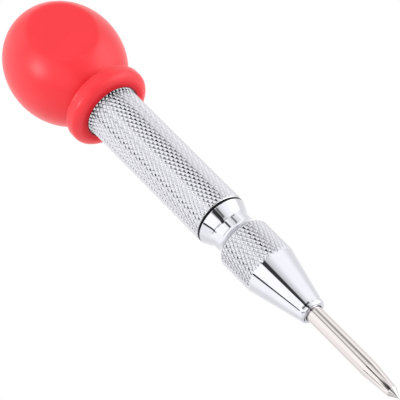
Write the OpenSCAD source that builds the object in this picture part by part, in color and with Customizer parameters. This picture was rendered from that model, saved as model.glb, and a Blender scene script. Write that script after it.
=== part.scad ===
// Automatic center punch, standing on its point with the ball grip up.
// The point's end is the origin, and +Z runs along the tool's axis to the ball.

/* [Punch] */
// Length of the steep cone at the point
point_l = 2.3; // [1.5:0.1:4]
// Diameter where the steep cone meets the taper
point_d = 2.7; // [1.6:0.1:3.2]
// Width of the blunt end of the point
point_flat_d = 0.2; // [0.1:0.05:0.6]
// Length of the taper behind the point
taper_l = 7.6; // [4:0.1:12]
// Diameter of the punch shank
shank_d = 4.1; // [3.4:0.1:5]
// Length of punch that stands out of the nose at rest
punch_out = 29.2; // [20:0.1:36]
// Height of the collar that keeps the punch in the nose
collar_h = 2.5; // [2:0.1:4]
// Diameter of the socket in the collar for the trip pin's foot
socket_d = 2.8; // [2.2:0.1:3.4]
// Depth of that socket
socket_l = 1.5; // [1:0.1:1.8]
// How far the punch is pushed in before the hammer is let go
press_travel = 9; // [6:0.5:10]

/* [Nose] */
// Diameter of the small end of the nose
nose_end_d = 6.4; // [5.6:0.1:8]
// Rounding of the small end
nose_round = 0.5; // [0.2:0.1:0.8]
// Length of the polished cone
cone_l = 15.5; // [12:0.1:20]
// Length of the knurled band behind the cone
nose_grip_l = 9.7; // [6:0.1:14]
// Length of the bevel from the knurled band to the waist
bevel_l = 3.2; // [2:0.1:5]
// Diameter of the waist
waist_d = 10.1; // [9.2:0.1:11.5]
// Length of the waist
waist_l = 0.9; // [0.4:0.1:3]
// Length of the flare from the waist to the flange
flare_l = 3.5; // [2.5:0.1:6]
// Length of the plain flange at the joint
flange_l = 0.2; // [0.2:0.1:2]
// Step from the barrel's surface down to the flange
flange_inset = 0.15; // [0.05:0.05:0.4]
// Length of the bore that guides the punch
guide_l = 11.8; // [9:0.1:14]
// Wall of the nose at the waist
neck_wall = 1.05; // [0.8:0.05:1.4]
// Length of the threaded spigot in the barrel
spigot_l = 8.5; // [6:0.1:10]
// Wall of the threaded spigot
spigot_wall = 1.15; // [0.9:0.05:1.4]

/* [Joint ring] */
// Thickness of the black ring between the nose and the barrel
ring_h = 0.9; // [0.4:0.1:1.2]
// Step from the barrel's surface down to the ring
ring_inset = 0.2; // [0.05:0.05:0.5]

/* [Barrel] */
// Diameter of the barrel and of the nose's knurled band
body_d = 13.4; // [12.4:0.1:17]
// Length of the barrel
barrel_l = 63; // [56:0.5:75]
// Wall of the barrel at the hammer's bore
barrel_wall = 1.9; // [1.5:0.05:2.2]
// Step from the hammer's bore out to the threads at both ends
thread_step = 0.4; // [0.3:0.05:0.6]
// Step from the barrel's surface down to its plain end in the ball
tail_step = 0.25; // [0.1:0.05:0.4]
// Bevel at the barrel's lower edge
barrel_bevel = 0.3; // [0.1:0.05:0.6]
// Length of the land that centres the trip pin
land_l = 2.7; // [2:0.1:4]

/* [Trip pin] */
// How far off the axis the trip pin's end leans at rest
trip_offset = 1.25; // [1:0.05:1.4]
// Room around the trip pin's body for its spring and its lean
trip_room = 1.8; // [1.6:0.05:2]
// Step from the trip pin's body in to its neck
trip_neck_step = 0.7; // [0.5:0.05:0.8]
// Step from the trip pin's neck in to its end
trip_end_step = 0.4; // [0.3:0.05:0.5]
// Length of the trip pin's thin end
trip_end_l = 8.5; // [6:0.1:10]
// Length of the cone between the trip pin's body and neck
trip_cone_l = 2; // [1:0.1:3]
// How far the trip pin's body enters the land at full travel
trip_lead = 1.2; // [0.8:0.1:2]
// Height of the trip pin's flange
trip_flange_h = 1.2; // [0.8:0.1:2]
// Step from the punch's collar in to the trip pin's flange
trip_flange_step = 0.2; // [0.1:0.05:0.4]

/* [Hammer] */
// Length of the hammer
hammer_l = 13.5; // [12:0.1:16]
// How far above the land the hammer rests
hammer_lift = 4.4; // [3:0.1:6]
// Diameter of the studs that centre the main spring
stud_d = 5.6; // [4:0.1:6]
// Length of the hammer's stud
stud_l = 4; // [2:0.1:5]
// Bevel on the hammer's edges
hammer_bevel = 0.4; // [0.2:0.1:0.8]

/* [Springs] */
// Wire of the trip spring
trip_wire = 0.5; // [0.3:0.05:0.6]
// Turns of the trip spring
trip_turns = 10; // [6:1:14]
// Wire of the main spring
main_wire = 1.2; // [0.8:0.05:1.4]
// Turns of the main spring
main_turns = 9; // [6:1:10]

/* [Tension screw] */
// Lead of the tension screw's thread
screw_pitch = 1.25; // [0.75:0.25:1.5]
// Turns that the ball can still be screwed in
turns_in = 1.5; // [0.5:0.5:2]
// Gap between the barrel's end and the cap's head
cap_gap = 3.2; // [3.2:0.1:5]
// Length of the cap's threaded shank
cap_shank_l = 11; // [9:0.1:14]
// Height of the cap's head in the ball
cap_head_h = 6.7; // [4:0.1:8]
// Step from the ball's bore in to the cap's head
cap_head_step = 0.1; // [0.05:0.05:0.4]
// Height of the spring seat's disc
seat_h = 2.5; // [1.5:0.1:3.5]
// Length of the spring seat's stud in the main spring
seat_stud_l = 4.5; // [2:0.1:5]
// Diameter of the spring seat's pilot in the cap
pilot_d = 4; // [3:0.1:5]
// Length of that pilot
pilot_l = 3; // [2:0.1:5]

/* [Ball grip] */
// Diameter of the ball
ball_d = 28.6; // [26:0.1:34]
// Height of the ball's egg shape
ball_l = 32.8; // [30:0.1:40]
// Distance between the ball's two flats
flat_to_flat = 23.4; // [22:0.1:26]
// Length of barrel that the ball covers
barrel_cover = 21; // [18:0.1:24]
// Distance from the lip's front to the middle of the ball
lip_to_middle = 18.7; // [17.5:0.1:20]
// Diameter of the lip
lip_d = 21.3; // [19:0.1:22]
// Height of the lip up to the groove behind it
lip_h = 5.4; // [4.5:0.1:6]
// Rounding of the lip's front edge
lip_round = 1.5; // [0.8:0.1:1.8]
// Height of the narrow bead at the back of the lip
bead_h = 1.8; // [1.2:0.1:2.2]
// Depth of the line between the lip and its narrow bead
bead_line = 0.2; // [0.1:0.05:0.3]
// Step from the lip down to the narrow bead
bead_step = 0.4; // [0.2:0.05:0.8]
// Bevel at the mouth of the ball's bore
mouth_bevel = 0.3; // [0.1:0.1:0.6]

/* [Fits] */
// Gap all round a running fit
run_gap = 0.05; // [0.02:0.01:0.1]
// Gap all round the hammer
hammer_gap = 0.08; // [0.03:0.01:0.1]
// Gap all round the screwed joints
thread_gap = 0.05; // [0.02:0.01:0.1]
// Gap all round the barrel in the ball
ball_gap = 0.2; // [0.1:0.05:0.4]
// Gap all round the cap's head in the ball
press_gap = 0.02; // [0.01:0.01:0.05]
// Gap all round the punch's collar
collar_gap = 0.5; // [0.3:0.05:0.7]
// Gap beside the trip pin in the land
land_gap = 0.25; // [0.2:0.05:0.4]
// Gap under the trip pin's flange, which lets it lean
lean_gap = 0.3; // [0.2:0.05:0.4]
// Gap at the ends of loosely seated pieces
end_gap = 0.2; // [0.15:0.05:0.3]
// Gap between the spring seat and the cap
seat_gap = 0.05; // [0.02:0.01:0.1]
// Gap between a spring and the wall around it
coil_gap = 0.2; // [0.1:0.05:0.3]
// Relief at the blind end of a thread
thread_relief = 0.3; // [0.2:0.1:0.6]

/* [Hidden] */
$fn = 96;

// Stations along the axis, from the point up
taper_z = point_l + taper_l;
nose_z = punch_out;
cone_z = nose_z + cone_l;
grip_z = cone_z + nose_grip_l;
waist_z = grip_z + bevel_l;
flare_z = waist_z + waist_l;
flange_z = flare_z + flare_l;
ring_z = flange_z + flange_l;
barrel_z = ring_z + ring_h;
barrel_top = barrel_z + barrel_l;
spigot_top = ring_z + spigot_l;
land_z = spigot_top + thread_relief;
chamber_z = land_z + land_l;
lip_z = barrel_top - barrel_cover;
ball_z = lip_z + lip_to_middle;
groove_z = lip_z + lip_h;

// Radii that fit one another
body_r = body_d / 2;
bore_r = body_r - barrel_wall;
thread_r = bore_r + thread_step;
male_thread_r = thread_r - thread_gap;
tail_r = body_r - tail_step;
flange_r = body_r - flange_inset;
waist_r = waist_d / 2;
cavity_r = min(waist_r - neck_wall, male_thread_r - spigot_wall);
guide_r = shank_d / 2 + run_gap;
collar_r = cavity_r - collar_gap;

// Trip pin: its foot stands in the punch's socket and its end leans under the hammer
seat_z = nose_z + guide_l;
collar_z = seat_z + collar_h;
pivot_z = collar_z - socket_l + end_gap;
foot_r = socket_d / 2 - end_gap;
trip_flange_z = collar_z + lean_gap;
trip_flange_top = trip_flange_z + trip_flange_h;
trip_body_r = cavity_r - trip_room;
trip_neck_r = trip_body_r - trip_neck_step;
trip_end_r = trip_neck_r - trip_end_step;
hammer_z = chamber_z + hammer_lift;
trip_top = hammer_z - end_gap;
trip_end_z = trip_top - trip_end_l;
trip_body_top = land_z - press_travel + trip_lead;
trip_tilt = asin(trip_offset / (trip_top - pivot_z));
land_r = max(trip_body_r + land_gap, trip_end_r + trip_offset + land_gap / 2);

// Hammer and main spring
hammer_r = bore_r - hammer_gap;
hammer_top = hammer_z + hammer_l;
hammer_hole_r = trip_end_r + end_gap;
hammer_hole_l = trip_end_l + 1;

// Tension screw
head_z = barrel_top + cap_gap;
head_top = head_z + cap_head_h;
cap_end_z = head_z - cap_shank_l;
seat_top = cap_end_z - seat_gap;
spring_top = seat_top - seat_h;
cap_thread_z = cap_end_z - turns_in * screw_pitch - thread_relief;
ball_bore_r = body_r + ball_gap;
head_r = ball_bore_r - cap_head_step;
pilot_r = pilot_d / 2;

// Points on round stretches
arc_steps = 8;
egg_steps = 28;
coil_rings = 8;
wire_sides = 6;

// Points of an arc round [r, z], from one angle to another
function arc(r, z, radius, from, to) = [
    for (i = [0 : arc_steps])
        let (a = from + (to - from) * i / arc_steps)
        [r + radius * cos(a), z + radius * sin(a)]
];

// Points of a smooth S from one radius to another, without its two ends
function s_curve(r0, z0, r1, z1) = [
    for (i = [1 : arc_steps - 1])
        let (t = i / arc_steps)
        [r0 + (r1 - r0) * (1 - cos(180 * t)) / 2, z0 + (z1 - z0) * t]
];

// Middle line of a coil spring whose radius may change along it
function coil_path(z0, z1, r0, r1, turns) = [
    for (i = [0 : turns * coil_rings])
        let (t = i / (turns * coil_rings), a = 360 * i / coil_rings, r = r0 + (r1 - r0) * t)
        [r * cos(a), r * sin(a), z0 + (z1 - z0) * t]
];

// Narrowest space between neighbouring turns
function turn_gap(path, wire) =
    min([for (i = [0 : len(path) - 1 - coil_rings]) norm(path[i + coil_rings] - path[i])]) - wire;

// Closed tube of wire along a coil's middle line
module coil(path, wire) {
    last = len(path) - 1;
    points = [
        for (i = [0 : last])
            let (
                tangent = path[min(i + 1, last)] - path[max(i - 1, 0)],
                out = [path[i][0], path[i][1], 0] / norm([path[i][0], path[i][1]]),
                side = cross(tangent, out) / norm(cross(tangent, out)),
                lift = cross(side, tangent) / norm(cross(side, tangent))
            )
            for (j = [0 : wire_sides - 1])
                path[i] + wire / 2 * (cos(360 * j / wire_sides) * lift + sin(360 * j / wire_sides) * side)
    ];
    skin = [
        for (i = [0 : last - 1], j = [0 : wire_sides - 1])
            let (a = i * wire_sides + j, b = i * wire_sides + (j + 1) % wire_sides)
            each [[a, b, b + wire_sides], [a, b + wire_sides, a + wire_sides]]
    ];
    start_cap = [for (j = [1 : wire_sides - 2]) [0, j + 1, j]];
    first_of_last = last * wire_sides;
    end_cap = [for (j = [1 : wire_sides - 2]) [first_of_last, first_of_last + j, first_of_last + j + 1]];
    polyhedron(points, concat(skin, start_cap, end_cap), convexity = 10);
}

trip_path = coil_path(
    trip_flange_top + lean_gap + trip_wire / 2,
    land_z - end_gap - trip_wire / 2,
    trip_body_r + 2 * coil_gap + trip_wire / 2,
    cavity_r - coil_gap - trip_wire / 2,
    trip_turns
);
main_path = coil_path(
    hammer_top + end_gap + main_wire / 2,
    spring_top - end_gap - main_wire / 2,
    bore_r - coil_gap - main_wire / 2,
    bore_r - coil_gap - main_wire / 2,
    main_turns
);
echo(trip_spring_turn_gap = turn_gap(trip_path, trip_wire));
echo(main_spring_turn_gap = turn_gap(main_path, main_wire));

// Steel punch with its collar and the socket that carries the trip pin
module punch() {
    color("#b9b4ae")
    rotate_extrude()
    polygon([
        [0, 0],
        [point_flat_d / 2, 0],
        [point_d / 2, point_l],
        [shank_d / 2, taper_z],
        [shank_d / 2, seat_z],
        [collar_r, seat_z],
        [collar_r, collar_z],
        [socket_d / 2, collar_z],
        [socket_d / 2, collar_z - socket_l],
        [0, collar_z - socket_l]
    ]);
}

// Nose in one piece: polished cone, knurled band, waist, flange and threaded spigot
module nose_cone() {
    end_r = nose_end_d / 2;
    knee_z = grip_z + bevel_l / 2;
    knee_r = waist_r + (body_r - waist_r) / 4;
    color("#d8d9df")
    rotate_extrude()
    polygon(concat(
        [[guide_r, nose_z]],
        arc(end_r - nose_round, nose_z + nose_round, nose_round, -90, 0),
        [[body_r, cone_z], [body_r, grip_z], [knee_r, knee_z]],
        s_curve(knee_r, knee_z, waist_r, waist_z),
        [[waist_r, waist_z], [waist_r, flare_z]],
        s_curve(waist_r, flare_z, flange_r, flange_z),
        [
            [flange_r, flange_z],
            [flange_r, ring_z],
            [male_thread_r, ring_z],
            [male_thread_r, spigot_top],
            [cavity_r, spigot_top],
            [cavity_r, seat_z],
            [guide_r, seat_z]
        ]
    ));
}

// Black ring squeezed between the nose's flange and the barrel
module joint_ring() {
    color("#141416")
    translate([0, 0, ring_z])
    difference() {
        cylinder(r = body_r - ring_inset, h = ring_h);
        translate([0, 0, -ring_h])
        cylinder(r = thread_r, h = 3 * ring_h);
    }
}

// Knurled barrel: threads at both ends, the land inside and the hammer's bore
module barrel() {
    color("#cfd0d6")
    rotate_extrude()
    polygon([
        [thread_r, barrel_z],
        [body_r - barrel_bevel, barrel_z],
        [body_r, barrel_z + barrel_bevel],
        [body_r, lip_z - tail_step],
        [tail_r, lip_z],
        [tail_r, barrel_top],
        [thread_r, barrel_top],
        [thread_r, cap_thread_z],
        [bore_r, cap_thread_z],
        [bore_r, chamber_z],
        [land_r, chamber_z],
        [land_r, land_z],
        [thread_r, land_z]
    ]);
}

// Trip pin, leaning on its foot so that its end misses the hammer's hole
module trip_pin() {
    flange_r = collar_r - trip_flange_step;
    color("#a9a6a0")
    translate([0, 0, pivot_z])
    rotate([0, trip_tilt, 0])
    translate([0, 0, -pivot_z])
    rotate_extrude()
    polygon([
        [0, pivot_z],
        [foot_r, pivot_z],
        [foot_r, trip_flange_z],
        [flange_r, trip_flange_z],
        [flange_r, trip_flange_top],
        [trip_body_r, trip_flange_top],
        [trip_body_r, trip_body_top],
        [trip_neck_r, trip_body_top + trip_cone_l],
        [trip_neck_r, trip_end_z],
        [trip_end_r, trip_end_z],
        [trip_end_r, trip_top],
        [0, trip_top]
    ]);
}

// Conical spring from the trip pin's flange to the barrel's land
module trip_spring() {
    color("#9b9b9f")
    coil(trip_path, trip_wire);
}

// Hammer with the hole that drops over the trip pin's end
module hammer() {
    color("#8f8d8a")
    rotate_extrude()
    polygon([
        [hammer_hole_r, hammer_z],
        [hammer_r - hammer_bevel, hammer_z],
        [hammer_r, hammer_z + hammer_bevel],
        [hammer_r, hammer_top - hammer_bevel],
        [hammer_r - hammer_bevel, hammer_top],
        [stud_d / 2, hammer_top],
        [stud_d / 2, hammer_top + stud_l],
        [0, hammer_top + stud_l],
        [0, hammer_z + hammer_hole_l],
        [hammer_hole_r, hammer_z + hammer_hole_l]
    ]);
}

// Main spring between the hammer and the spring seat
module main_spring() {
    color("#86868a")
    coil(main_path, main_wire);
}

// Seat that takes the main spring's thrust and lets the cap turn on its pilot
module spring_seat() {
    color("#b08d57")
    translate([0, 0, spring_top]) {
        cylinder(r = hammer_r, h = seat_h);
        translate([0, 0, -seat_stud_l])
        cylinder(d = stud_d, h = seat_stud_l + seat_h / 2);
        cylinder(r = pilot_r, h = seat_h + pilot_l);
    }
}

// Steel cap: a threaded shank in the barrel and a head held in the ball
module adjusting_cap() {
    color("#a3a4a8")
    difference() {
        union() {
            translate([0, 0, cap_end_z])
            cylinder(r = male_thread_r, h = cap_shank_l + cap_head_h / 2);
            translate([0, 0, head_z])
            cylinder(r = head_r, h = cap_head_h);
        }
        translate([0, 0, cap_end_z - end_gap])
        cylinder(r = pilot_r + run_gap, h = pilot_l + 2 * end_gap);
    }
}

// Red ball with two flats, a rounded lip and a narrow bead behind it
module ball_grip() {
    egg_r = ball_d / 2;
    egg_h = ball_l / 2;
    lip_r = lip_d / 2;
    bead_z = groove_z - bead_h;
    bead_r = lip_r - bead_step;
    bead_round = bead_h / 2;
    groove_angle = asin((groove_z - ball_z) / egg_h);
    color("#f0323a")
    difference() {
        rotate_extrude()
        polygon(concat(
            [[ball_bore_r, lip_z + mouth_bevel], [ball_bore_r + mouth_bevel, lip_z]],
            arc(lip_r - lip_round, lip_z + lip_round, lip_round, -90, 0),
            [[bead_r - bead_line, bead_z]],
            arc(bead_r - bead_round, bead_z + bead_round, bead_round, -30, 90),
            [
                for (i = [0 : egg_steps])
                    let (a = groove_angle + (90 - groove_angle) * i / egg_steps)
                    [egg_r * cos(a), ball_z + egg_h * sin(a)]
            ],
            [
                [0, head_top],
                [head_r + press_gap, head_top],
                [head_r + press_gap, head_z],
                [ball_bore_r, head_z]
            ]
        ));
        for (side = [0, 180])
            rotate([0, 0, side])
            translate([-ball_d, flat_to_flat / 2, lip_z])
            cube([2 * ball_d, ball_d, 2 * ball_l]);
    }
}

punch();
nose_cone();
joint_ring();
barrel();
trip_pin();
trip_spring();
hammer();
main_spring();
spring_seat();
adjusting_cap();
ball_grip();
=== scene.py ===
"""Looks of the automatic center punch: knurled and polished metal, red ball and pale studio, in metres."""

import math

import bpy
from mathutils import Matrix, Vector


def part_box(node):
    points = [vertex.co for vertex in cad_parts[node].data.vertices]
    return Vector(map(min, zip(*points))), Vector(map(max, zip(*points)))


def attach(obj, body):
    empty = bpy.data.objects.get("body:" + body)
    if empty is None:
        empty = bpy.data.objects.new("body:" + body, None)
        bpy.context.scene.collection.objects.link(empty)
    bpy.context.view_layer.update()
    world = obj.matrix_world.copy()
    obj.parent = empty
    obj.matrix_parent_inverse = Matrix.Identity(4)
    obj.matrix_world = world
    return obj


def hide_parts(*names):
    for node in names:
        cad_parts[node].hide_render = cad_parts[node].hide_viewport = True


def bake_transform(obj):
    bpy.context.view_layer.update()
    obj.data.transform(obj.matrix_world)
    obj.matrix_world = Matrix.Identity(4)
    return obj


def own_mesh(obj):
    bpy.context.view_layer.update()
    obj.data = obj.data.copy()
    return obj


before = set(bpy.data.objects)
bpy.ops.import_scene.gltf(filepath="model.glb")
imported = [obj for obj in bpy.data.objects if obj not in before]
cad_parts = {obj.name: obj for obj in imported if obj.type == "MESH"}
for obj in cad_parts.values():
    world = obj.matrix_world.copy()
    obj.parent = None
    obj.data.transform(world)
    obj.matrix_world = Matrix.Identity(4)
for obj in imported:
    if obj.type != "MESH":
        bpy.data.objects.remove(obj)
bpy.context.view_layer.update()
MM = 0.001

# Punch
POINT_L = 2.3 * MM
POINT_R = 1.35 * MM
POINT_FLAT_R = 0.1 * MM
TAPER_L = 7.6 * MM
SHANK_R = 2.05 * MM
COLLAR_H = 2.5 * MM
SOCKET_R = 1.4 * MM
SOCKET_L = 1.5 * MM
POINT_EDGE_R = 0.04 * MM
POINT_EDGE_L = 0.24 * MM
TAPER_EDGE_R = 0.02 * MM
TAPER_EDGE_BELOW = 0.32 * MM
TAPER_EDGE_ABOVE = 0.16 * MM

# Nose
NOSE_END_R = 3.32 * MM
NOSE_ROUND = 0.9 * MM
CONE_L = 15.5 * MM
BAND_L = 9.7 * MM
WAIST_R = 5.22 * MM
WAIST_SOFT = 0.25 * MM
SHOULDER_SOFT = 1.1 * MM
SHOULDER_SLOPE = 1.0
FLARE_SLOPE = 0.44
FLANGE_INSET = 0.15 * MM
GUIDE_L = 11.8 * MM
GUIDE_GAP = 0.05 * MM
CAVITY_R = 4.0 * MM
THREAD_R = 5.2 * MM
THREAD_GAP = 0.05 * MM
MOUTH_SINK = 0.18 * MM
CONE_ROWS = 12
NECK_ROWS = 60

# Barrel and ring
BARREL_BEVEL = 0.3 * MM
BORE_R = 4.8 * MM
LAND_R = 2.475 * MM
LAND_L = 2.7 * MM
LAND_RELIEF = 0.3 * MM
CAP_THREAD_ROOM = 2.175 * MM
TAIL_R = 6.45 * MM
TAIL_STEP = 0.2 * MM
KNURL_IN_BALL = 4.0 * MM
RING_BULGE = 0.08 * MM
RING_SETBACK = 0.2 * MM
RING_EDGE_SHARE = 0.25

# Diamond knurl: as many grooves of each hand, crossing on a lattice of even steps.
# The lean puts a diamond's top off its middle by lattice steps, and the top is the flat share of its flanks.
KNURL_STARTS = 39
KNURL_PERIOD = 2.04 * MM
KNURL_DEPTH = 0.20 * MM
KNURL_LEAN = 1
KNURL_TOP = 0.25
KNURL_STEPS = 8
KNURL_SIDES = KNURL_STARTS * KNURL_STEPS
KNURL_FADE = 0.8 * MM
KNURL_START = 0.01 * MM
ROW_GAP = 0.05 * MM

# Ball grip
BALL_L = 32.8 * MM
LIP_R = 10.65 * MM
LIP_H = 4.8 * MM
LIP_ROUND = 2.0 * MM
LIP_WIDE = 1.4
LIP_DROP = 0.55 * MM
BEAD_H = 1.2 * MM
BEAD_LINE = 0.15 * MM
BEAD_STEP = 0.45 * MM
BALL_BORE_R = 6.9 * MM
HEAD_R = 6.82 * MM
HEAD_H = 6.7 * MM
MOUTH_BEVEL = 0.12 * MM
FLAT_SOFT = 0.3 * MM
BALL_SIDES = 192
EGG_ROWS = 72

# Springs
TRIP_WIRE = 0.5 * MM
TRIP_TURNS = 10
TRIP_NARROW_R = 2.85 * MM
MAIN_WIRE = 1.2 * MM
MAIN_TURNS = 9
MAIN_LOW_TURNS = 6.75
TURN_STEPS = 40
WIRE_SIDES = 12

# Sides of the ring and the punch, and the radius under which a ring of points is one point
TURNED_SIDES = 128
ON_AXIS = 1e-7

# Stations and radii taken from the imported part
barrel_low, barrel_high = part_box("barrel")
nose_low, nose_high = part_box("nose_cone")
ring_low, ring_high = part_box("joint_ring")
ball_low, ball_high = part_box("ball_grip")
punch_low, punch_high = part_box("punch")
cap_low, cap_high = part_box("adjusting_cap")
body_r, collar_r = barrel_high.x, punch_high.x
barrel_z, barrel_top = barrel_low.z, barrel_high.z
ring_z, ring_top = ring_low.z, ring_high.z
nose_z, spigot_top = nose_low.z, nose_high.z
cap_end_z, head_top = cap_low.z, cap_high.z

# Stations and radii that follow
point_z = punch_low.z
ground_z = point_z + POINT_L
taper_z = ground_z + TAPER_L
cone_z = nose_z + CONE_L
band_z = cone_z + BAND_L
seat_z = nose_z + GUIDE_L
land_z = spigot_top + LAND_RELIEF
chamber_z = land_z + LAND_L
lip_z = ball_low.z - LIP_DROP
groove_z = lip_z + LIP_H
ball_z = ball_high.z - BALL_L / 2
head_z = head_top - HEAD_H
guide_r = SHANK_R + GUIDE_GAP

# View: the tool's point leans towards the camera, and the picture is turned so that it points down right
VIEW_TILT = math.radians(31)
VIEW_TURN = math.radians(25.15)
VIEW_ROLL = math.radians(45.09)
VIEW_DISTANCE = 0.655
VIEW_HEIGHT = 70.64 * MM
PIXELS = 400
PIXELS_PER_M = 4380
AIM_RIGHT = -0.102 * MM
AIM_UP = -0.115 * MM
SENSOR = 36
CLIP_START, CLIP_END = 0.05, 20

# Directions of the view: front is towards the camera and side to the camera's left, both level
front = Vector((-math.sin(VIEW_TURN), -math.cos(VIEW_TURN), 0))
side = front.cross(Vector((0, 0, 1)))
to_tip = Vector((0, 0, -1)) * math.cos(VIEW_TILT) - front * math.sin(VIEW_TILT)
back = Vector((0, 0, -1)) * math.sin(VIEW_TILT) + front * math.cos(VIEW_TILT)
right = to_tip * math.cos(VIEW_ROLL) - side * math.sin(VIEW_ROLL)
up = -to_tip * math.sin(VIEW_ROLL) - side * math.cos(VIEW_ROLL)
middle = Vector((0, 0, VIEW_HEIGHT))

# Studio: levels of the fill light and of the tent that metal mirrors, and the floor
FILL = 0.78
TENT = 1.52
FLOOR_HALF = 6.0
DEGREES = 180 / math.pi

# Ranges of a noise over which a finish changes
WIDE = (0.3, 0.7)
NARROW = (0.35, 0.65)

# Stretch of tool lines: under 1 they run along the tool, over 1 round it
ALONG_WIRE = 0.2
ROUND_TOOL = 30.0
DRAWN = 0.02
GRINDING = 12.0

# Finish of the knurl: radii from its grooves to its tops, and painted shade below the ball's lip: darker
# grooves, and near black facets that face up to the lip
root_r = body_r - KNURL_DEPTH
groove_shade_r = body_r - 0.7 * KNURL_DEPTH
lip_groove_shade_r = body_r - 0.6 * KNURL_DEPTH
crest_r = body_r - 0.2 * KNURL_DEPTH
tip_r = body_r - 0.05 * KNURL_DEPTH
LIP_SHADE_L = 4.5 * MM
FACET_SHADE_L = 2.1 * MM
FACET_SHADE_FULL_L = 0.42 * MM
LIP_SHADE_END = 0.4 * MM
LIP_SHADE_FADE = 0.6 * MM
FACING_UP = (0.12, 0.18)
WEAR = (0.85, 1.0)
KNURL_ROUGH = (0.07, 0.13)
KNURL_TOPS = (0.60, 0.60, 0.64, 1)
KNURL_FLANKS = (0.56, 0.56, 0.595, 1)
# Painted shade: grooves darker than flanks and tops, near black below the lip, and near black on facets that
# face up to the lip
SHADED_GROOVES = (0.46, 0.46, 0.48, 1)
LIP_SHADED_GROOVES = (0.03, 0.03, 0.03, 1)
FACET_SHADE = (0.006, 0.006, 0.006, 1)

# Finish of the nose
BAND_SOFT = 0.2 * MM
BAND_ROUGHER = 0.08
NOSE_ROUGH = (0.04, 0.07)
NOSE_DARK, NOSE_LIGHT = (0.59, 0.59, 0.635, 1), (0.61, 0.61, 0.655, 1)
# Painted shade: darker colour in the band's grooves, and near black in the bore's mouth
BAND_SHADED_GROOVES, BAND_FLANKS = (0.30, 0.30, 0.315, 1), (0.54, 0.54, 0.57, 1)
NOSE_BORE_SHADE = (0.06, 0.06, 0.065, 1)

# Finish of the punch
GROUND_SOFT = 0.25 * MM
PUNCH_ROUGH = (0.04, 0.09)
DRAWN_DARK, DRAWN_LIGHT = (0.56, 0.525, 0.515, 1), (0.63, 0.595, 0.585, 1)
GROUND_DARK, GROUND_LIGHT = (0.36, 0.345, 0.34, 1), (0.54, 0.52, 0.51, 1)

# Finish of the ball, whose lip has a matt face with painted shade at the mouth: near black at the bore and
# dimmer out over the face
SATIN_L = 0.2 * MM
SATIN = (0.06, 0.42)
MOUTH_SHADE_L = 0.5 * MM
LIP_FACE_SHADE = 0.8
LIP_FACE_SHADE_L = 2.2 * MM
BALL_ROUGH = (0.33, 0.40)
BALL_IOR = 1.55
BALL_SHEEN = 0.15
BALL_SHEEN_ROUGH = 0.3
BALL_DARK, BALL_LIGHT = (0.86, 0.020, 0.032, 1), (0.90, 0.024, 0.037, 1)
BALL_MOUTH_SHADE = (0.05, 0.003, 0.005, 1)

# Finish of the ring and the floor
RING_ROUGH = (0.45, 0.65)
RING_SPECULAR = 0.06
RING_DARK, RING_LIGHT = (0.004, 0.004, 0.005, 1), (0.010, 0.010, 0.011, 1)
FLOOR_ROUGH = 0.9
FLOOR_DARK, FLOOR_LIGHT = (0.90, 0.90, 0.90, 1), (0.92, 0.92, 0.92, 1)
WHITE = (1, 1, 1, 1)


# Meshes

def arc(r, z, radius, start, end, steps, wide=1.0):
    """Points [r, z] of an arc, with its angles in degrees, that may be wider than it is tall."""
    angles = [math.radians(start + (end - start) * k / steps) for k in range(steps + 1)]
    return [(r + wide * radius * math.cos(a), z + radius * math.sin(a)) for a in angles]


def even_steps(low, high, count):
    """Values in even steps, with both ends."""
    return [low + (high - low) * k / count for k in range(count + 1)]


def soft_least(a, b, soft):
    """The smaller of two values, with a rounded change from one to the other."""
    share = min(1, max(0, 0.5 + 0.5 * (b - a) / soft))
    return b + (a - b) * share - soft * share * (1 - share)


def soft_most(a, b, soft):
    """The larger of two values, with a rounded change from one to the other."""
    return -soft_least(-a, -b, soft)


def circle(radii, z):
    """Points round the axis at one height, at even angles and with a radius each."""
    angles = [2 * math.pi * i / len(radii) for i in range(len(radii))]
    return [(r * math.cos(a), r * math.sin(a), z) for r, a in zip(radii, angles)]


def plain(points, sides):
    """Round rings through points [r, z], or single points on the axis, with no row of the knurl."""
    return [(circle([r] * sides if r > ON_AXIS else [0], z), None) for r, z in points]


def knurl_share(i, row):
    """Height of the knurl at a lattice point, from 0 in a groove to 1 on a diamond's top, which leans."""
    half = KNURL_STEPS // 2
    u, v = (i + row) % KNURL_STEPS, (row - i) % KNURL_STEPS
    steep = min(KNURL_STEPS - u, v) / (half - KNURL_LEAN)
    easy = min(u, KNURL_STEPS - v) / (half + KNURL_LEAN)
    return min(1, min(steep, easy) / (1 - KNURL_TOP))


def knurled(z0, z1, radius):
    """Knurled rings between two heights, with their rows. Radius is a function of the height and the cut."""
    step = KNURL_PERIOD / KNURL_STEPS
    rings = []
    for row in range(math.ceil(z0 / step), math.floor(z1 / step) + 1):
        cuts = [KNURL_DEPTH * (1 - knurl_share(i, row)) for i in range(KNURL_SIDES)]
        rings.append((circle([radius(row * step, cut) for cut in cuts], row * step), row))
    return rings


def band_faces(low, high, a, b):
    """Faces between two rings with first points a and b. On the knurl they are cut along its grooves."""
    (low_ring, row), (high_ring, high_row) = low, high
    on_knurl = row is not None and high_row is not None
    sides = max(len(low_ring), len(high_ring))
    faces = []
    for i in range(sides):
        n = (i + 1) % sides
        if len(low_ring) == 1:
            faces.append((a, b + n, b + i))
        elif len(high_ring) == 1:
            faces.append((a + i, a + n, b))
        elif on_knurl and (i + row + 1) % KNURL_STEPS == 0:
            faces += [(a + i, a + n, b + i), (a + n, b + n, b + i)]
        elif on_knurl and (row - i) % KNURL_STEPS == 0:
            faces += [(a + i, a + n, b + n), (a + i, b + n, b + i)]
        else:
            faces.append((a + i, a + n, b + n, b + i))
    return faces


def skin(rings, closed=False):
    """Vertices and faces over rings that run up the outside, each with its row of the knurl or None."""
    verts, starts, faces = [], [], []
    for ring, _ in rings:
        starts.append(len(verts))
        verts.extend(ring)
    lows = list(range(len(rings)))
    highs = lows[1:] + [0] if closed else lows[1:]
    for low, high in zip(lows, highs):
        faces += band_faces(rings[low], rings[high], starts[low], starts[high])
    return verts, faces


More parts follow.
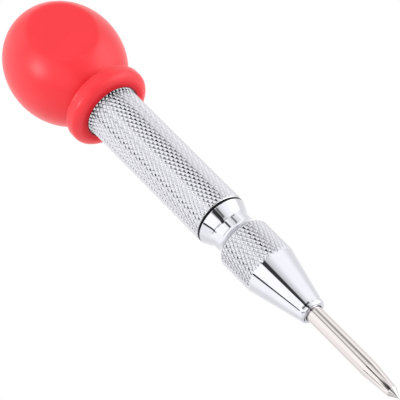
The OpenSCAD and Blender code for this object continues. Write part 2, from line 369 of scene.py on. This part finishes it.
def make_piece(name, shape, body, material, crease=35):
    """A smooth mesh with its sharp edges kept, from vertices and faces, riding on a body if one is named."""
    verts, faces = shape
    mesh = bpy.data.meshes.new(name)
    mesh.from_pydata(verts, [], faces)
    mesh.update()
    mesh.polygons.foreach_set("use_smooth", [True] * len(mesh.polygons))
    mesh.set_sharp_from_angle(angle=math.radians(crease))
    mesh.materials.append(material)
    piece = bpy.data.objects.new(name, mesh)
    bpy.context.scene.collection.objects.link(piece)
    if body:
        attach(piece, body)
    return piece


def wire_ring(centre, out, across, radius):
    """Points round a wire, in the plane of two directions that cross it."""
    angles = [2 * math.pi * j / WIRE_SIDES for j in range(WIRE_SIDES)]
    return [tuple(centre + (out * math.cos(w) + across * math.sin(w)) * radius) for w in angles]


def coil(name, z0, z1, r0, r1, wire, turns, material, body=None, start=0.0):
    """Round spring wire wound between two heights and two radii. Start is the turn at which it begins."""
    count = round(turns * TURN_STEPS)
    rise = (z1 - z0) / (2 * math.pi * turns)
    rings, centres = [], []
    for k in range(count + 1):
        t = k / count
        a = 2 * math.pi * (start + turns * t)
        r = r0 + (r1 - r0) * t
        centre = Vector((r * math.cos(a), r * math.sin(a), z0 + (z1 - z0) * t))
        out = Vector((math.cos(a), math.sin(a), 0))
        along = Vector((-r * math.sin(a), r * math.cos(a), rise)).normalized()
        centres.append(tuple(centre))
        rings.append(wire_ring(centre, out, along.cross(out), wire / 2))
    rings = [centres[:1]] + rings + [centres[-1:]]
    return make_piece(name, skin([(ring, None) for ring in rings]), body, material)


# Nodes

class Nodes:
    """A node tree, with short ways to add nodes. Their inputs are values or other nodes' outputs."""

    def __init__(self, tree):
        self.tree = tree

    def feed(self, socket, value):
        """Gives a socket its value, or links it to an output."""
        if isinstance(value, bpy.types.NodeSocket):
            self.tree.links.new(value, socket)
        else:
            socket.default_value = value

    def add(self, kind, settings=None, **inputs):
        """A node with its settings, and its inputs by name or, as i0, i1 and so on, by number."""
        node = self.tree.nodes.new(kind)
        for key, value in (settings or {}).items():
            setattr(node, key, value)
        for key, value in inputs.items():
            numbered = key[0] == "i" and key[1:].isdigit()
            self.feed(node.inputs[int(key[1:]) if numbered else key.replace("_", " ")], value)
        return node

    def math(self, operation, *values):
        node = self.add("ShaderNodeMath", {"operation": operation})
        for socket, value in zip(node.inputs, values):
            self.feed(socket, value)
        return node.outputs[0]

    def product(self, first, *others):
        for other in others:
            first = self.math("MULTIPLY", first, other)
        return first

    def ramp(self, value, low, high, to_low=0.0, to_high=1.0, smooth=False):
        """Value mapped from one range to another and held inside it."""
        kind = "SMOOTHSTEP" if smooth else "LINEAR"
        node = self.add(
            "ShaderNodeMapRange", {"clamp": True, "interpolation_type": kind},
            Value=value, From_Min=low, From_Max=high, To_Min=to_low, To_Max=to_high,
        )
        return node.outputs[0]

    def mix(self, share, a, b):
        """Colour a where the share is 0 and colour b where it is 1."""
        return self.add("ShaderNodeMix", {"data_type": "RGBA"}, i0=share, i6=a, i7=b).outputs[2]

    def noise(self, vector, scale, detail=4.0, roughness=0.55):
        node = self.add(
            "ShaderNodeTexNoise", None, Vector=vector, Scale=scale, Detail=detail, Roughness=roughness
        )
        return node.outputs["Fac"]


class Finish(Nodes):
    """A material with a Principled shader, and the place on its piece: position, height and radius."""

    def __init__(self, name):
        self.material = bpy.data.materials.new(name)
        self.material.use_nodes = True
        super().__init__(self.material.node_tree)
        self.shader = self.tree.nodes["Principled BSDF"]
        coordinates = self.add("ShaderNodeTexCoord").outputs
        self.position, self.normal = coordinates["Object"], coordinates["Normal"]
        parts = self.add("ShaderNodeSeparateXYZ", None, Vector=self.position).outputs
        self.height = parts["Z"]
        self.flat = self.add("ShaderNodeCombineXYZ", None, X=parts["X"], Y=parts["Y"], Z=0.0).outputs[0]
        length = self.add("ShaderNodeVectorMath", {"operation": "LENGTH"}, i0=self.flat)
        self.radius = length.outputs["Value"]

    def set(self, **inputs):
        """Sets the shader's inputs."""
        for key, value in inputs.items():
            self.feed(self.shader.inputs[key.replace("_", " ")], value)

    def stretched(self, along):
        """Position with its height times a factor, which draws a noise out into lines."""
        lift = self.add("ShaderNodeCombineXYZ", None, X=0.0, Y=0.0, Z=self.product(self.height, along))
        moved = self.add("ShaderNodeVectorMath", {"operation": "ADD"}, i0=self.flat, i1=lift.outputs[0])
        return moved.outputs[0]

    def bump(self, height, strength, distance):
        node = self.add("ShaderNodeBump", None, Strength=strength, Distance=distance, Height=height)
        self.set(Normal=node.outputs["Normal"])


# Materials

def metal(name, light, dark, rough, along, scale):
    """Metal with fine tool lines, its light and dark colour and its range of roughness."""
    paint = Finish(name)
    lines = paint.noise(paint.stretched(along), scale)
    cloud = paint.noise(paint.position, scale=160.0, detail=3.0)
    paint.set(
        Base_Color=paint.mix(paint.ramp(cloud, *NARROW), dark, light),
        Roughness=paint.ramp(lines, *WIDE, *rough),
        Metallic=1.0,
    )
    paint.bump(lines, strength=0.25, distance=0.01 * MM)
    return paint.material


def knurl_metal():
    """Bright plating on the knurl: lighter on worn tops, with painted shade darkening the grooves, most next
    to the lip, and on the facets that face up to the lip.
    """
    paint = Finish("knurl_chrome")
    cloud = paint.noise(paint.position, scale=400.0, detail=3.0)
    # Painted shade under the lip: grooves darkened within a few mm of it and up-facing facets near black,
    # both ending just above its edge
    unshaded_above = paint.ramp(paint.height, lip_z + LIP_SHADE_END, lip_z + LIP_SHADE_END + LIP_SHADE_FADE, 1.0, 0.0)
    near_lip_shade = paint.product(paint.ramp(paint.height, lip_z - LIP_SHADE_L, lip_z), unshaded_above)
    shaded_groove_colour = paint.mix(near_lip_shade, SHADED_GROOVES, LIP_SHADED_GROOVES)
    shade_top_r = paint.ramp(paint.height, lip_z - LIP_SHADE_L, lip_z, groove_shade_r, lip_groove_shade_r)
    flanks = paint.mix(paint.ramp(paint.radius, root_r, shade_top_r), shaded_groove_colour, KNURL_FLANKS)
    worn = paint.ramp(cloud, *WIDE, *WEAR)
    plated = paint.mix(paint.product(paint.ramp(paint.radius, root_r, crest_r), worn), flanks, KNURL_TOPS)
    tilt = paint.add("ShaderNodeSeparateXYZ", None, Vector=paint.normal).outputs["Z"]
    upfacing_shade = paint.product(
        paint.ramp(tilt, *FACING_UP),
        paint.ramp(paint.radius, crest_r, tip_r, 1.0, 0.0),
        paint.ramp(paint.height, lip_z - FACET_SHADE_L, lip_z - FACET_SHADE_FULL_L),
        unshaded_above,
    )
    paint.set(
        Base_Color=paint.mix(upfacing_shade, plated, FACET_SHADE),
        Roughness=paint.ramp(cloud, *WIDE, *KNURL_ROUGH),
        Metallic=1.0,
    )
    paint.bump(cloud, strength=0.15, distance=0.02 * MM)
    return paint.material


def nose_metal():
    """Mirror plating with faint turning lines, with painted shade in the knurled band's grooves and in the
    bore's mouth.
    """
    paint = Finish("nose_chrome")
    turned = paint.noise(paint.stretched(ROUND_TOOL), scale=900.0)
    cloud = paint.noise(paint.position, scale=220.0, detail=3.0)
    in_band = paint.product(
        paint.ramp(paint.height, cone_z - BAND_SOFT, cone_z + BAND_SOFT),
        paint.ramp(paint.height, band_z + KNURL_FADE, band_z),
    )
    bright = paint.mix(paint.ramp(cloud, *NARROW), NOSE_DARK, NOSE_LIGHT)
    # Painted shade: the band's grooves darker than its flanks, and the bore's mouth near black
    shaded_groove_colour = paint.mix(paint.ramp(paint.radius, root_r, groove_shade_r), BAND_SHADED_GROOVES, BAND_FLANKS)
    band_groove_share = paint.product(in_band, paint.ramp(paint.radius, crest_r, root_r))
    in_bore = paint.ramp(paint.radius, guide_r + MOUTH_SINK, guide_r)
    polish = paint.ramp(cloud, *WIDE, *NOSE_ROUGH)
    paint.set(
        Base_Color=paint.mix(in_bore, paint.mix(band_groove_share, bright, shaded_groove_colour), NOSE_BORE_SHADE),
        Roughness=paint.math("MULTIPLY_ADD", in_band, BAND_ROUGHER, polish),
        Metallic=1.0,
    )
    paint.bump(turned, strength=0.02, distance=0.004 * MM)
    return paint.material


def punch_metal():
    """Warm drawn steel with lengthwise lines and a darker ground point."""
    paint = Finish("punch_steel")
    lines = paint.noise(paint.stretched(DRAWN), scale=1500.0)
    grind = paint.noise(paint.stretched(GRINDING), scale=900.0)
    steel = paint.mix(paint.ramp(lines, *NARROW), DRAWN_DARK, DRAWN_LIGHT)
    ground = paint.mix(paint.ramp(grind, *NARROW), GROUND_DARK, GROUND_LIGHT)
    on_point = paint.ramp(paint.height, ground_z, ground_z - GROUND_SOFT)
    paint.set(
        Base_Color=paint.mix(on_point, steel, ground),
        Roughness=paint.ramp(lines, *WIDE, *PUNCH_ROUGH),
        Metallic=1.0,
    )
    paint.bump(lines, strength=0.15, distance=0.01 * MM)
    return paint.material


def red_plastic():
    """Smooth moulded red with a satin skin, faint cloudiness and painted shade round the lip's mouth."""
    paint = Finish("red_plastic")
    cloud = paint.noise(paint.position, scale=60.0, detail=3.0)
    grain = paint.noise(paint.position, scale=2600.0, detail=2.0)
    red = paint.mix(paint.ramp(cloud, *WIDE), BALL_DARK, BALL_LIGHT)
    # Painted shade at the mouth: near black next to the bore, then the lip face dimmed outwards, none above
    # the lip face
    mouth_shade_r = BALL_BORE_R + MOUTH_SHADE_L
    past_mouth_shade = paint.ramp(paint.radius, BALL_BORE_R, mouth_shade_r)
    face_shade = paint.ramp(paint.radius, mouth_shade_r, BALL_BORE_R + LIP_FACE_SHADE_L, LIP_FACE_SHADE, 1.0)
    above = paint.ramp(paint.height, lip_z + LIP_ROUND, groove_z)
    shade_free = paint.math("MAXIMUM", paint.product(past_mouth_shade, face_shade), above)
    paint.set(
        Base_Color=paint.mix(shade_free, BALL_MOUTH_SHADE, red),
        Roughness=paint.ramp(grain, *WIDE, *BALL_ROUGH),
        Specular_IOR_Level=paint.ramp(paint.height, lip_z, lip_z + SATIN_L, *SATIN),
        IOR=BALL_IOR,
        Sheen_Weight=BALL_SHEEN,
        Sheen_Roughness=BALL_SHEEN_ROUGH,
    )
    paint.bump(grain, strength=0.06, distance=0.02 * MM)
    return paint.material


def black_rubber():
    """Matt black with a fine grain."""
    paint = Finish("black_rubber")
    grain = paint.noise(paint.position, scale=3000.0, detail=3.0)
    paint.set(
        Base_Color=paint.mix(paint.ramp(grain, *WIDE), RING_DARK, RING_LIGHT),
        Roughness=paint.ramp(grain, *WIDE, *RING_ROUGH),
        Specular_IOR_Level=RING_SPECULAR,
    )
    paint.bump(grain, strength=0.2, distance=0.02 * MM)
    return paint.material


def floor_paint():
    """Pale and matt from above, and clear from below."""
    paint = Finish("floor")
    cloud = paint.noise(paint.position, scale=3.0, detail=2.0)
    paint.set(Base_Color=paint.mix(cloud, FLOOR_DARK, FLOOR_LIGHT), Roughness=FLOOR_ROUGH)
    below = paint.add("ShaderNodeNewGeometry").outputs["Backfacing"]
    clear = paint.add("ShaderNodeBsdfTransparent").outputs[0]
    mixed = paint.add("ShaderNodeMixShader", None, i0=below, i1=paint.shader.outputs[0], i2=clear)
    paint.feed(paint.tree.nodes["Material Output"].inputs["Surface"], mixed.outputs[0])
    return paint.material


# Pieces

def make_barrel(material):
    """Knurled barrel with its bore, land and threads."""
    end_r = body_r - BARREL_BEVEL
    knurl_end = lip_z + KNURL_IN_BALL
    cap_thread_z = cap_end_z - CAP_THREAD_ROOM

    def radius(z, cut):
        return min(end_r + z - barrel_z, body_r - cut)

    rings = plain([(THREAD_R, barrel_z), (end_r, barrel_z)], KNURL_SIDES)
    rings += knurled(barrel_z + KNURL_START, knurl_end, radius)
    rings += plain([
        (TAIL_R, knurl_end + TAIL_STEP),
        (TAIL_R, barrel_top),
        (THREAD_R, barrel_top),
        (THREAD_R, cap_thread_z),
        (BORE_R, cap_thread_z),
        (BORE_R, chamber_z),
        (LAND_R, chamber_z),
        (LAND_R, land_z),
        (THREAD_R, land_z),
    ], KNURL_SIDES)
    shape = skin(rings, closed=True)
    piece = make_piece("knurled_barrel", shape, "barrel", material, crease=12)
    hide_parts("barrel")


def make_nose(material):
    """Polished cone, knurled band, waist, flange and threaded spigot in one turned piece."""
    slope = (body_r - NOSE_END_R) / (CONE_L - NOSE_ROUND)
    round_z = nose_z + NOSE_ROUND
    knurl_z = cone_z - KNURL_DEPTH / slope - 2 * ROW_GAP
    knurl_end = band_z + KNURL_FADE
    flange_z = ring_z + RING_SETBACK
    rim_z = ring_z + RING_SETBACK / 2
    flange_r = body_r - FLANGE_INSET
    thread_r = THREAD_R - THREAD_GAP

    def cone(z):
        return body_r - (cone_z - z) * slope

    def neck(z):
        shoulder = soft_most(WAIST_R, body_r - (z - band_z) * SHOULDER_SLOPE, SHOULDER_SOFT)
        return soft_most(shoulder, flange_r - (rim_z - z) * FLARE_SLOPE, WAIST_SOFT)

    def radius(z, cut):
        if z < band_z:
            return min(cone(z), body_r - cut)
        return neck(z) - cut * max(0, 1 - (z - band_z) / KNURL_FADE)

    outline = [(guide_r, nose_z + MOUTH_SINK), (guide_r + MOUTH_SINK, nose_z)]
    outline += arc(NOSE_END_R - NOSE_ROUND, round_z, NOSE_ROUND, -90, 0, steps=16)
    outline += [(cone(z), z) for z in even_steps(round_z, knurl_z, CONE_ROWS)[1:]]
    rings = plain(outline, KNURL_SIDES)
    rings += knurled(knurl_z + ROW_GAP, knurl_end - ROW_GAP, radius)
    outline = [(neck(z), z) for z in even_steps(knurl_end, rim_z, NECK_ROWS)[:-1]]
    outline += [
        (flange_r, rim_z),
        (flange_r, flange_z),
        (thread_r, flange_z),
        (thread_r, spigot_top),
        (CAVITY_R, spigot_top),
        (CAVITY_R, seat_z),
        (guide_r, seat_z),
    ]
    rings += plain(outline, KNURL_SIDES)
    shape = skin(rings, closed=True)
    piece = make_piece("turned_nose", shape, "barrel", material, crease=12)
    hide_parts("nose_cone")


def make_ring(material):
    """Black ring with rounded outer edges."""
    inner, outer = THREAD_R, ring_high.x + RING_BULGE
    low = ring_z + RING_SETBACK
    edge = RING_EDGE_SHARE * (ring_top - low)
    outline = [(inner, low)]
    outline += arc(outer - edge, low + edge, edge, -90, 0, steps=5)
    outline += arc(outer - edge, ring_top - edge, edge, 0, 90, steps=5)
    outline += [(inner, ring_top)]
    shape = skin(plain(outline, TURNED_SIDES), closed=True)
    piece = make_piece("black_ring", shape, "barrel", material)
    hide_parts("joint_ring")


def make_punch(material):
    """Drawn steel punch with a taper, a ground point, a collar and the trip pin's socket."""
    collar_z = seat_z + COLLAR_H
    socket_z = collar_z - SOCKET_L
    outline = [
        (0, point_z),
        (POINT_FLAT_R, point_z),
        (POINT_R, ground_z),
        (POINT_R + POINT_EDGE_R, ground_z + POINT_EDGE_L),
        (SHANK_R - TAPER_EDGE_R, taper_z - TAPER_EDGE_BELOW),
        (SHANK_R, taper_z + TAPER_EDGE_ABOVE),
        (SHANK_R, seat_z),
        (collar_r, seat_z),
        (collar_r, collar_z),
        (SOCKET_R, collar_z),
        (SOCKET_R, socket_z),
        (0, socket_z),
    ]
    shape = skin(plain(outline, TURNED_SIDES))
    piece = make_piece("steel_punch", shape, "punch", material, crease=15)
    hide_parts("punch")


def lip_outline():
    """Points [r, z] up the ball's lip and the narrow bead behind it."""
    bead_z = groove_z - BEAD_H
    bead_r = LIP_R - BEAD_STEP
    bead_round = BEAD_H / 2
    outline = [(BALL_BORE_R, lip_z + MOUTH_BEVEL), (BALL_BORE_R + MOUTH_BEVEL, lip_z)]
    face_r = LIP_R - LIP_WIDE * LIP_ROUND
    outline += arc(face_r, lip_z + LIP_ROUND, LIP_ROUND, -90, 0, steps=16, wide=LIP_WIDE)
    outline += [(LIP_R, bead_z - BEAD_LINE), (bead_r - BEAD_LINE, bead_z)]
    return outline + arc(bead_r - bead_round, bead_z + bead_round, bead_round, -30, 20, steps=8)


def flattened(ring):
    """A ring of the egg cut by its two flats, with soft edges."""
    flat_y = ball_high.y
    return [(x, math.copysign(soft_least(abs(y), flat_y, FLAT_SOFT), y), z) for x, y, z in ring]


def make_ball(material):
    """Red egg-shaped ball with two soft-edged flats, a rounded lip and the cap's recess."""
    egg_r, egg_h = ball_high.x, BALL_L / 2
    groove = math.asin((groove_z - ball_z) / egg_h)
    angles = even_steps(groove, math.pi / 2, EGG_ROWS)
    egg = plain([(egg_r * math.cos(a), ball_z + egg_h * math.sin(a)) for a in angles], BALL_SIDES)
    outside = plain(lip_outline(), BALL_SIDES) + [(flattened(ring), row) for ring, row in egg]
    recess = [(0, head_top), (HEAD_R, head_top), (HEAD_R, head_z), (BALL_BORE_R, head_z)]
    verts, faces = skin(outside)
    more, more_faces = skin(plain(recess, BALL_SIDES) + [outside[0]])
    shift = len(verts)
    verts += more
    faces += [tuple(shift + v for v in face) for face in more_faces]
    piece = make_piece("red_ball", (verts, faces), "cap", material, crease=40)
    piece.visible_glossy = False
    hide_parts("ball_grip")
    return piece


def make_trip_spring(material):
    """Cone of round wire against the barrel's land, which the punch squeezes when pushed in; the coil keeps
    one shape and rides on the barrel.
    """
    low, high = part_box("trip_spring")
    low_z, high_z = low.z + TRIP_WIRE / 2, high.z - TRIP_WIRE / 2
    wide = high.x - TRIP_WIRE / 2
    trip = coil("trip_coil", low_z, high_z, TRIP_NARROW_R, wide, TRIP_WIRE, TRIP_TURNS, material, "barrel")
    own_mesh(trip)
    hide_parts("trip_spring")


def make_main_spring(material):
    """Main spring in two lengths: on the tool the hammer squeezes the lower and the upper's end goes with
    the seat; here the lower rides on the barrel and the upper stays in place, neither changing shape.
    """
    low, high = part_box("main_spring")
    low_z, high_z = low.z + MAIN_WIRE / 2, high.z - MAIN_WIRE / 2
    wide = high.x - MAIN_WIRE / 2
    split_z = low_z + (high_z - low_z) * MAIN_LOW_TURNS / MAIN_TURNS
    high_turns = MAIN_TURNS - MAIN_LOW_TURNS
    lower = coil("main_coil_low", low_z, split_z, wide, wide, MAIN_WIRE, MAIN_LOW_TURNS, material, "barrel")
    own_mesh(lower)
    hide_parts("main_spring")
    upper = coil(
        "main_coil_high", split_z, high_z, wide, wide, MAIN_WIRE, high_turns, material, start=MAIN_LOW_TURNS
    )
    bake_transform(upper)
    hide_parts("main_spring")


def paint_node(node, material):
    """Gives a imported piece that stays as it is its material."""
    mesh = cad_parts[node].data
    mesh.materials.clear()
    mesh.materials.append(material)


# Studio

def make_camera():
    """Camera at the photo's angle."""
    data = bpy.data.cameras.new("camera")
    data.sensor_width = SENSOR
    data.lens = SENSOR * PIXELS_PER_M * VIEW_DISTANCE / PIXELS
    data.clip_start, data.clip_end = CLIP_START, CLIP_END
    camera = bpy.data.objects.new("camera", data)
    bpy.context.scene.collection.objects.link(camera)
    camera.matrix_world = Matrix((right, up, back)).transposed().to_4x4()
    camera.location = middle + back * VIEW_DISTANCE + right * AIM_RIGHT + up * AIM_UP
    bpy.context.scene.camera = camera


def make_lamp(name, direction, distance, size, power):
    """Square soft lamp, in a direction from the middle of the tool given as shares of right, up and back."""
    data = bpy.data.lights.new(name, "AREA")
    data.shape = "SQUARE"
    data.size = size
    data.energy = power
    lamp = bpy.data.objects.new(name, data)
    bpy.context.scene.collection.objects.link(lamp)
    rightward, upward, backward = direction
    away = (right * rightward + up * upward + back * backward).normalized()
    lamp.location = middle + away * distance
    lamp.rotation_euler = away.to_track_quat("Z", "Y").to_euler()
    lamp.visible_glossy = False
    return lamp


def light_only(lamp, piece):
    """Keeps a lamp to one piece, which then mirrors it too."""
    lit = bpy.data.collections.new(lamp.name)
    lit.objects.link(piece)
    lamp.light_linking.receiver_collection = lit
    lamp.visible_glossy = True


def make_floor():
    """Pale floor under the point. It is clear from below, where the photo's view lies."""
    half = FLOOR_HALF
    mesh = bpy.data.meshes.new("floor")
    corners = [(-half, -half, 0), (half, -half, 0), (half, half, 0), (-half, half, 0)]
    mesh.from_pydata(corners, [], [(0, 1, 2, 3)])
    mesh.materials.append(floor_paint())
    floor = bpy.data.objects.new("floor", mesh)
    bpy.context.scene.collection.objects.link(floor)
    floor.visible_glossy = False
    floor.visible_diffuse = False
    floor.visible_shadow = False


class Tent(Nodes):
    """Masks over the directions that metal mirrors, by turn to the tool's side and lift, in degrees."""

    def __init__(self, tree):
        super().__init__(tree)
        self.direction = self.add("ShaderNodeTexCoord").outputs["Generated"]
        self.turn = self.product(self.math("ARCTAN2", self.along(side), self.along(front)), DEGREES)
        self.lift = self.product(self.math("ARCSINE", self.along(Vector((0, 0, 1)))), DEGREES)

    def along(self, axis):
        node = self.add("ShaderNodeVectorMath", {"operation": "DOT_PRODUCT"}, i0=self.direction, i1=axis)
        return node.outputs["Value"]

    def rise(self, value, low, high):
        """A soft change from 0 to 1."""
        return self.ramp(value, low, high, smooth=True)

    def fall(self, value, low, high):
        """A soft change from 1 to 0."""
        return self.ramp(value, low, high, 1.0, 0.0, smooth=True)

    def between(self, value, low, low_soft, high, high_soft):
        """1 from a low to a high value, each with the half width of its soft edge."""
        entered = self.rise(value, low - low_soft, low + low_soft)
        return self.product(entered, self.fall(value, high - high_soft, high + high_soft))

    def window(self, turn, lift):
        """1 between two turns and two lifts."""
        return self.product(self.between(self.turn, *turn), self.between(self.lift, *lift))

    def spot(self, turn, lift, inner, outer):
        """1 within an inner angle of a direction, and 0 beyond an outer one."""
        turn, lift = math.radians(turn), math.radians(lift)
        level = front * math.cos(turn) + side * math.sin(turn)
        near = self.along(level * math.cos(lift) + Vector((0, 0, math.sin(lift))))
        return self.rise(near, math.cos(math.radians(outer)), math.cos(math.radians(inner)))


def tent_cloth(tent):
    """Brighter and darker parts of the tent's cloth, as masks and gains."""
    turn, lift = tent.turn, tent.lift
    rear = tent.rise(tent.math("ABSOLUTE", turn), 84.0, 120.0)
    right_panel = tent.spot(-95.0, -30.0, 0.0, 38.0)
    left_panel = tent.between(turn, 8.0, 1.0, 54.0, 2.0)
    dim = tent.spot(-50.0, 36.0, 4.0, 32.0)
    wing = tent.product(tent.rise(turn, 56.0, 62.0), tent.fall(lift, -8.0, 2.0))
    overhead = tent.rise(lift, 68.0, 80.0)
    below = tent.fall(lift, -78.0, -52.0)
    return [
        (rear, -0.26), (right_panel, 1.8), (left_panel, 0.07), (dim, -0.25), (wing, -0.12),
        (overhead, -0.45), (below, -0.6),
    ]


def tent_slits(tent):
    """Upright dark slits between the tent's cloths, as masks and gains."""
    turn, lift = tent.turn, tent.lift
    slit_turn = tent.math("ADD", turn, tent.ramp(lift, -24.0, 5.0, 6.0, 0.0))
    slit = tent.product(tent.between(slit_turn, -8.5, 1.5, 8.0, 1.0), tent.fall(lift, 22.0, 26.0))
    shade = tent.product(
        tent.rise(slit_turn, -48.0, -4.0), tent.fall(turn, 7.0, 9.0), tent.fall(lift, 8.0, 16.0)
    )
    crack = tent.window((-13.0, 2.0, -2.5, 2.0), (24.0, 4.0, 42.0, 4.0))
    seam_turn = tent.math("SUBTRACT", turn, tent.ramp(lift, -30.0, 30.0, 0.0, 8.0))
    seam_break = tent.math("SUBTRACT", 1.0, tent.between(lift, 10.2, 0.8, 14.5, 1.0))
    seam = tent.product(
        tent.between(seam_turn, 50.5, 0.7, 58.0, 0.7), tent.fall(lift, 21.0, 26.0), seam_break
    )
    return [(shade, -0.46), (slit, -0.93), (crack, -0.92), (seam, -0.97)]


def tent_openings(tent):
    """Small dark openings in the tent, as masks and gains."""
    strip = tent.window((-54.0, 3.0, -44.0, 3.0), (18.0, 6.0, 46.0, 6.0))
    gate = tent.window((-33.0, 4.0, 36.0, 4.0), (8.3, 0.8, 13.5, 1.5))
    sill = tent.window((14.0, 4.0, 75.0, 6.0), (-4.0, 1.0, 1.5, 1.0))
    hem = tent.window((-4.0, 3.0, 54.0, 3.0), (36.5, 1.5, 45.0, 2.0))
    slot = tent.spot(-62.0, 21.0, 3.0, 9.0)
    knot = tent.spot(-19.0, -16.0, 2.0, 6.0)
    dash = tent.spot(-104.0, -16.0, 1.5, 4.0)
    behind = tent.spot(164.0, -35.0, 4.0, 12.0)
    return [
        (strip, -0.75), (gate, -0.85), (sill, -0.8), (hem, -0.6),
        (slot, -0.75), (knot, -0.75), (dash, -0.8), (behind, -0.9),
    ]


def mirrored_tent(tree):
    """Brightness of the studio tent that metal mirrors."""
    tent = Tent(tree)
    level = TENT
    for mask, gain in tent_cloth(tent) + tent_slits(tent) + tent_openings(tent):
        level = tent.product(level, tent.math("MULTIPLY_ADD", mask, gain, 1.0))
    return level


def make_world():
    """White behind the tool, a tent for metal to mirror, and an even fill light."""
    world = bpy.data.worlds.new("studio")
    bpy.context.scene.world = world
    world.use_nodes = True
    world.node_tree.nodes.clear()
    nodes = Nodes(world.node_tree)
    path = nodes.add("ShaderNodeLightPath").outputs
    seen = nodes.math("MAXIMUM", path["Is Camera Ray"], path["Is Transmission Ray"])

    def background(level):
        return nodes.add("ShaderNodeBackground", None, Color=WHITE, Strength=level).outputs[0]

    mirrored = background(mirrored_tent(nodes.tree))
    lit = nodes.add("ShaderNodeMixShader", None, i0=path["Is Glossy Ray"], i1=background(FILL), i2=mirrored)
    final = nodes.add("ShaderNodeMixShader", None, i0=seen, i1=lit.outputs[0], i2=background(1.0))
    nodes.add("ShaderNodeOutputWorld", None, Surface=final.outputs[0])


# Pieces made here
make_barrel(knurl_metal())
make_nose(nose_metal())
make_ring(black_rubber())
make_punch(punch_metal())
ball = make_ball(red_plastic())
wire = metal("spring_steel", (0.62, 0.62, 0.64, 1), (0.50, 0.50, 0.52, 1), (0.20, 0.32), ALONG_WIRE, 900.0)
make_trip_spring(wire)
make_main_spring(wire)

# Pieces that stay as packed: node, material, light and dark colour, roughness, and scale of the tool lines
for node, name, light, dark, rough, scale in (
    ("trip_pin", "hard_steel", (0.70, 0.69, 0.67, 1), (0.60, 0.59, 0.57, 1), (0.16, 0.28), 700.0),
    ("hammer", "hammer_steel", (0.60, 0.59, 0.58, 1), (0.50, 0.49, 0.48, 1), (0.20, 0.35), 600.0),
    ("spring_seat", "seat_brass", (0.78, 0.60, 0.34, 1), (0.70, 0.52, 0.28, 1), (0.18, 0.30), 600.0),
    ("adjusting_cap", "cap_steel", (0.66, 0.66, 0.68, 1), (0.56, 0.56, 0.58, 1), (0.18, 0.30), 600.0),
):
    paint_node(node, metal(name, light, dark, rough, ROUND_TOOL, scale))

# Studio round the tool
make_camera()
make_floor()
make_world()
light_only(make_lamp("left_box", (-0.853, -0.052, 0.514), distance=0.8, size=0.22, power=1.5), ball)
make_lamp("right_box", (0.90, 0.16, 0.40), distance=0.8, size=0.5, power=1.5)
make_lamp("front_box", (-0.5, 0.5, 0.71), distance=0.9, size=0.5, power=1.6)
make_lamp("back_box", (0.6, -0.6, -0.53), distance=0.9, size=0.5, power=2.4)
bpy.context.scene.view_settings.view_transform = "Standard"
